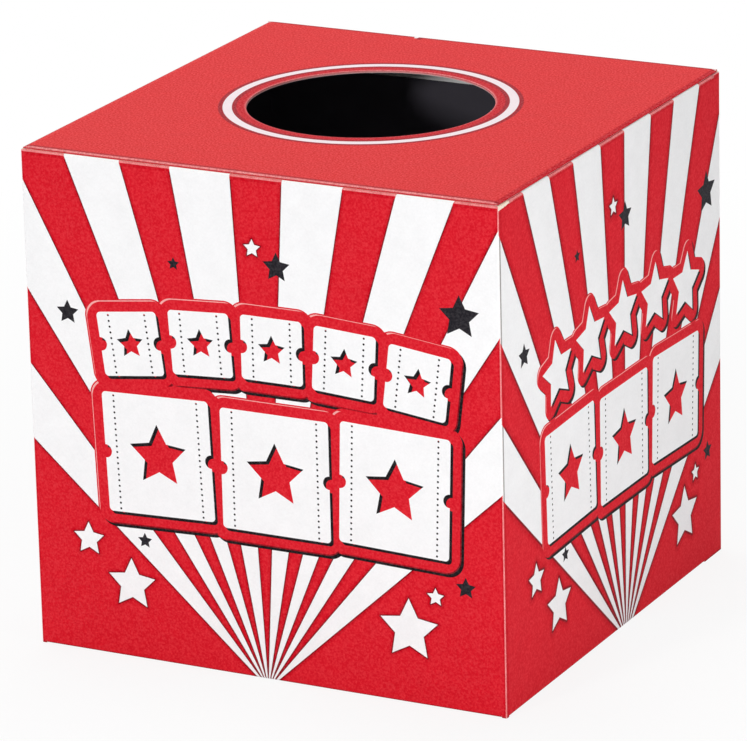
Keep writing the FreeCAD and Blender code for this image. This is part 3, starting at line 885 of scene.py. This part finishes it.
def dress(node, material):
    """Gives a packed panel its finish."""
    panels[node].data.materials.clear()
    panels[node].data.materials.append(material)


for quarter, (side, group) in enumerate(zip(SIDES, wall_groups)):
    bleed = bleed_pattern(group)
    pattern = worn_pattern(group) if side == "right" else wall_pattern(group)
    core = right_core if side == "right" else CORE_CREAM
    dress(side + "_wall", board_material(
        side + "_wall_board", FRONT_SIDE, HALF, pattern, quarter, core=core,
    ))
    dress("bottom_flap_" + side, board_material(
        side + "_bottom_board", DOWN, 0.0, bleed, quarter, fold=0.0,
    ))
    dress("liner_" + side, black_card)
    if "dust_flap_" + side in panels:
        dress("dust_flap_" + side, board_material(side + "_dust_board", UP, DUST_TOP, bleed, quarter))
dress("liner_tab", black_card)
dress("seam_tab", seam_material)
dress("lid_panel", lid_material)
dress("tuck_flap", tuck_material)


# Folds at the creases that move: the board bends on from one panel to the next

def mesh_object(name, points, faces, material):
    mesh = bpy.data.meshes.new(name)
    mesh.from_pydata(points.tolist(), [], faces)
    mesh.materials.append(material)
    mesh.update()
    piece = bpy.data.objects.new(name, mesh)
    bpy.context.scene.collection.objects.link(piece)
    return piece


def keep_rest(piece):
    """Writes each point's rest place and normal into the mesh, for the board materials to read."""
    mesh = piece.data
    count = len(mesh.vertices)
    for name, values in (("rest_place", mesh.vertices), ("rest_facing", mesh.vertex_normals)):
        data = np.zeros(count * 3, np.float32)
        values.foreach_get("co" if name == "rest_place" else "vector", data)
        attribute = mesh.attributes.new(name, "FLOAT_VECTOR", "POINT")
        attribute.data.foreach_set("vector", data)


def carried(section, corner, first, second, along, start, end):
    """A closed section carried straight along a fold: point = corner + first times the section's
    first measure + second times its second + along times the station."""
    stations = np.linspace(start, end, FOLD_STEPS)
    rings = (
        corner
        + section[None, :, :1] * first
        + section[None, :, 1:] * second
        + stations[:, None, None] * along
    )
    return rings.reshape(-1, 3)


def ring_faces(stations, around):
    """Quads between the rings of a carried section, and a face at each end."""
    ring = np.arange(around)
    step = np.arange(stations - 1)[:, None] * around
    quads = np.stack(
        [step + ring, step + np.roll(ring, -1), step + around + np.roll(ring, -1), step + around + ring],
        axis=-1,
    ).reshape(-1, 4)
    caps = [ring[::-1].tolist(), (ring + (stations - 1) * around).tolist()]
    return quads.tolist() + caps


def mitred_section(half_bend):
    """Section of a panel's top fold, as (down the wall, in along the flap) from the outer corner.
    Its skin is a quarter circle about the inner corner that stands out most at the middle, and its
    inner side is a small quarter-round bead about the same corner."""
    board = BOARD * MM
    spread = np.linspace(-1, 1, 33)
    turn = np.radians(45 + 45 * np.sign(spread) * np.abs(spread) ** 1.8)
    reach = board + SKIN_LIFT * MM * np.sin(2 * turn) ** 2
    skin = np.stack([board - reach * np.sin(turn), board - reach * np.cos(turn)], axis=-1)
    bead_turn = np.radians(np.linspace(90, 0, 17))
    bead_reach = half_bend * math.sqrt(2)
    bead = np.stack(
        [board + bead_reach * np.cos(bead_turn), board + bead_reach * np.sin(bead_turn)], axis=-1,
    )
    return np.concatenate([skin, bead])


def mitred_fold(name, corner, inward, along, start, end, material):
    """The bent board over a fold whose hinge is its outer corner. It bends between the carton and
    the flap over a narrow band about the mitre."""
    down = np.array([0.0, 0.0, -1.0])
    inward = np.array(inward, float)
    along = np.array(along, float)
    corner = np.array(corner, float)
    half_bend = CREASE_REACH * MM
    section = mitred_section(half_bend)
    points = carried(section, corner, down, inward, along, start, end)
    piece = mesh_object(name, points, ring_faces(FOLD_STEPS, len(section)), material)
    outward_faces(piece)
    keep_rest(piece)
    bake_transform(piece)
    return piece


def outward_faces(piece):
    """Turns a closed mesh's faces outwards and smooths its long round ones."""
    work = bmesh.new()
    work.from_mesh(piece.data)
    bmesh.ops.recalc_face_normals(work, faces=work.faces)
    work.to_mesh(piece.data)
    work.free()
    piece.data.shade_smooth()


def tuck_section():
    """Section of the tuck flap's fold, as (forward, up) from the lid's lower front corner: an arc
    about that corner, one board out, that meets both panels' outer faces, and a small bead inside."""
    lean = math.radians(TUCK_LEAN)
    turn = np.radians(np.linspace(-TUCK_BEND, TUCK_BEND, 25))
    swell = SKIN_LIFT * np.cos(turn / np.radians(TUCK_BEND) * math.pi / 2)
    reach = BOARD + 0.01 + swell
    below = np.maximum(turn - lean, 0.0)
    reach = reach + BOARD * (1 / np.cos(below) - 1)
    skin = np.stack([reach * np.cos(turn), -reach * np.sin(turn)], axis=-1)
    bead_turn = np.radians(np.linspace(70, -70, 9))
    bead = 0.12 * np.stack([np.cos(bead_turn), -np.sin(bead_turn)], axis=-1)
    return np.concatenate([skin, bead]) * MM


def tuck_fold(name, corner, start, end, material):
    """The bent board between the lid's front end and the tuck flap."""
    forward = np.array([0.0, -1.0, 0.0])
    up = np.array([0.0, 0.0, 1.0])
    along = np.array([1.0, 0.0, 0.0])
    corner = np.array(corner, float)
    section = tuck_section()
    points = carried(section, corner, forward, up, along, start, end)
    piece = mesh_object(name, points, ring_faces(FOLD_STEPS, len(section)), material)
    outward_faces(piece)
    keep_rest(piece)
    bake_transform(piece)
    return piece


def nick(name, angle, width, reach):
    """A torn fibre nick on the hand hole's rim: a ragged section that stands out from the rim by
    reach times a rounded hump with two waves on it, carried along the rim."""
    across = np.linspace(-1, 1, 25)
    hump = (1 - across**2) ** 0.7 * (0.8 + 0.2 * np.sin(9 * across + angle)) + 0.02
    turn = np.linspace(0, 2 * math.pi, 12, endpoint=False)
    stands = (reach + NICK_ROOT) * hump[:, None] * (0.5 + 0.5 * np.cos(turn))
    out = HOLE_RADIUS + NICK_ROOT - stands - 0.01
    height = TOP - 0.62 - 0.16 * hump[:, None] * np.sin(turn) + 0.04 * np.sin(7 * across)[:, None]
    bearing = math.radians(angle) + across[:, None] * width / 2 / HOLE_RADIUS + 0 * out
    points = np.stack(
        [HOLE_CENTRE[0] + out * np.cos(bearing), HOLE_CENTRE[1] + out * np.sin(bearing), height], axis=-1,
    )
    piece = mesh_object(name, points.reshape(-1, 3) * MM, ring_faces(len(across), len(turn)), torn_fibre)
    outward_faces(piece)
    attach(piece, "lid")


def fibre_material():
    """Torn board fibre, white with pink where varnish clings to it."""
    material, nodes = new_material("torn_fibre")
    place = nodes.scaled(nodes.add("ShaderNodeTexCoord").outputs["Object"], 1 / MM)
    fine = nodes.noise(place, 3.0, 3.0, 0.6)
    colour = nodes.mix(nodes.ramp(fine, 0.35, 0.65), INSIDE_WHITE, PINK)
    roughness = nodes.math("MULTIPLY_ADD", fine, 0.1, 0.75)
    return paper_shader(material, nodes, {"Color": colour, "Roughness": roughness, "Height": fine})


back_fold = board_material(
    "back_fold_board", FRONT_SIDE, HALF, back_fold_pattern(front_group), 2, at_rest=True, mitred=True,
    core=CORE_PINK,
)
mitred_fold(
    "lid_fold", creases["lid_crease"]["pos_m"], (0, -1, 0), (1, 0, 0),
    LID_LOW.x + END_GAP * MM, LID_HIGH.x - END_GAP * MM, back_fold,
)
for quarter, side, inward in ((1, "right", (-1, 0, 0)), (3, "left", (1, 0, 0))):
    low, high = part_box("dust_flap_" + side)
    mitred_fold(
        "dust_fold_" + side, creases["dust_crease_" + side]["pos_m"], inward, (0, 1, 0),
        low.y + END_GAP * MM, high.y - END_GAP * MM,
        board_material(
            side + "_fold_board", FRONT_SIDE, HALF, wall_pattern(side_group), quarter,
            at_rest=True, mitred=True, core=CORE_PINK,
        ),
    )
low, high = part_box("tuck_flap")
tuck_fold(
    "tuck_fold", creases["tuck_crease"]["pos_m"], low.x + END_GAP * MM, high.x - END_GAP * MM,
    board_material(
        "tuck_fold_board", FRONT_SIDE, TUCK_OUTER, plain_red, at_rest=True, fold=0.4, core=CORE_PINK,
    ),
)
torn_fibre = fibre_material()
nick("rim_nick_left", 192.5, 1.9, 0.5)
nick("rim_nick_right", 10.8, 1.5, 0.45)


# Floor, light and camera

def seen_directly(nodes):
    """1 for what the camera sees, also in a gloss or through glass, and 0 for light that falls."""
    path = nodes.add("ShaderNodeLightPath").outputs
    seen = nodes.math("MAXIMUM", path["Is Camera Ray"], path["Is Glossy Ray"])
    return nodes.math("MAXIMUM", seen, path["Is Transmission Ray"])


def floor():
    """A wide pale floor that shows pure white to the camera and keeps the box's soft shadow. From
    below it is clear, so that the box's bottom can be seen, and under the box it lets light pass."""
    reach = 30.0
    corners = [(-reach, -reach, 0), (reach, -reach, 0), (reach, reach, 0), (-reach, reach, 0)]
    material, nodes = new_material("pale_floor")
    below = nodes.add("ShaderNodeNewGeometry").outputs["Backfacing"]
    paint = nodes.add("ShaderNodeBsdfDiffuse", {"Color": (0.85, 0.85, 0.85, 1)})
    glow = nodes.add("ShaderNodeEmission", {"Color": (1, 1, 1, 1), "Strength": 1.0})
    clear = nodes.add("ShaderNodeBsdfTransparent")
    lit = nodes.add("ShaderNodeMixShader")
    position = nodes.add("ShaderNodeNewGeometry").outputs["Position"]
    from_box = nodes.vector("LENGTH", position)
    far = nodes.ramp(from_box, FLOOR_NEAR, FLOOR_FAR)
    share = nodes.math("MULTIPLY_ADD", far, 1.0 - FLOOR_GLOW, FLOOR_GLOW)
    aside = nodes.split(nodes.vector("ABSOLUTE", position))
    edge = HALF * MM - 0.001
    beneath = nodes.ramp(nodes.math("MAXIMUM", aside["X"], aside["Y"]), edge, edge - 0.001)
    seen = seen_directly(nodes)
    share = nodes.math("MULTIPLY", share, nodes.math("SUBTRACT", 1.0, beneath))
    nodes.feed(lit.inputs[0], nodes.math("MULTIPLY", seen, share))
    nodes.feed(lit.inputs[1], paint.outputs[0])
    nodes.feed(lit.inputs[2], glow.outputs[0])
    sided = nodes.add("ShaderNodeMixShader")
    passing = nodes.math("MULTIPLY", beneath, nodes.math("SUBTRACT", 1.0, seen))
    nodes.feed(sided.inputs[0], nodes.math("MAXIMUM", below, passing))
    nodes.feed(sided.inputs[1], lit.outputs[0])
    nodes.feed(sided.inputs[2], clear.outputs[0])
    output = nodes.add("ShaderNodeOutputMaterial")
    nodes.feed(output.inputs["Surface"], sided.outputs[0])
    mesh_object("floor", np.array(corners, float), [(0, 1, 2, 3)], material)


def surroundings():
    """Even pale light from all round, and a white background."""
    world = bpy.data.worlds.new("studio")
    world.use_nodes = True
    world.node_tree.nodes.clear()
    nodes = Nodes(world.node_tree)
    strength = nodes.math("MULTIPLY_ADD", seen_directly(nodes), 1.0 - AMBIENT, AMBIENT)
    light = nodes.add("ShaderNodeBackground", {"Color": (1, 1, 1, 1), "Strength": strength})
    output = nodes.add("ShaderNodeOutputWorld")
    nodes.feed(output.inputs["Surface"], light.outputs[0])
    bpy.context.scene.world = world


def softbox(name, place, aim, width, power):
    """A square soft lamp at a place, turned to its aim."""
    lamp = bpy.data.lights.new(name, "AREA")
    lamp.size = width
    lamp.energy = power
    holder = bpy.data.objects.new(name, lamp)
    holder.location = place
    holder.rotation_euler = (Vector(aim) - Vector(place)).to_track_quat("-Z", "Y").to_euler()
    holder.visible_camera = False
    bpy.context.scene.collection.objects.link(holder)


def camera():
    """Turned to its heading about the vertical, dipped, then rolled about its own line of sight."""
    view = bpy.data.cameras.new("camera")
    view.lens = CAMERA_LENS
    view.sensor_width = CAMERA_SENSOR
    view.clip_end = 100.0
    holder = bpy.data.objects.new("camera", view)
    holder.matrix_world = (
        Matrix.Translation(CAMERA_PLACE)
        @ Matrix.Rotation(math.radians(CAMERA_HEADING), 4, "Z")
        @ Matrix.Rotation(math.radians(90 - CAMERA_DIP), 4, "X")
        @ Matrix.Rotation(math.radians(CAMERA_ROLL), 4, "Z")
    )
    bpy.context.scene.collection.objects.link(holder)
    bpy.context.scene.camera = holder


floor()
surroundings()
for lamp, values in LAMPS.items():
    softbox(lamp, *values)
camera()
bpy.context.scene.view_settings.view_transform = "Standard"
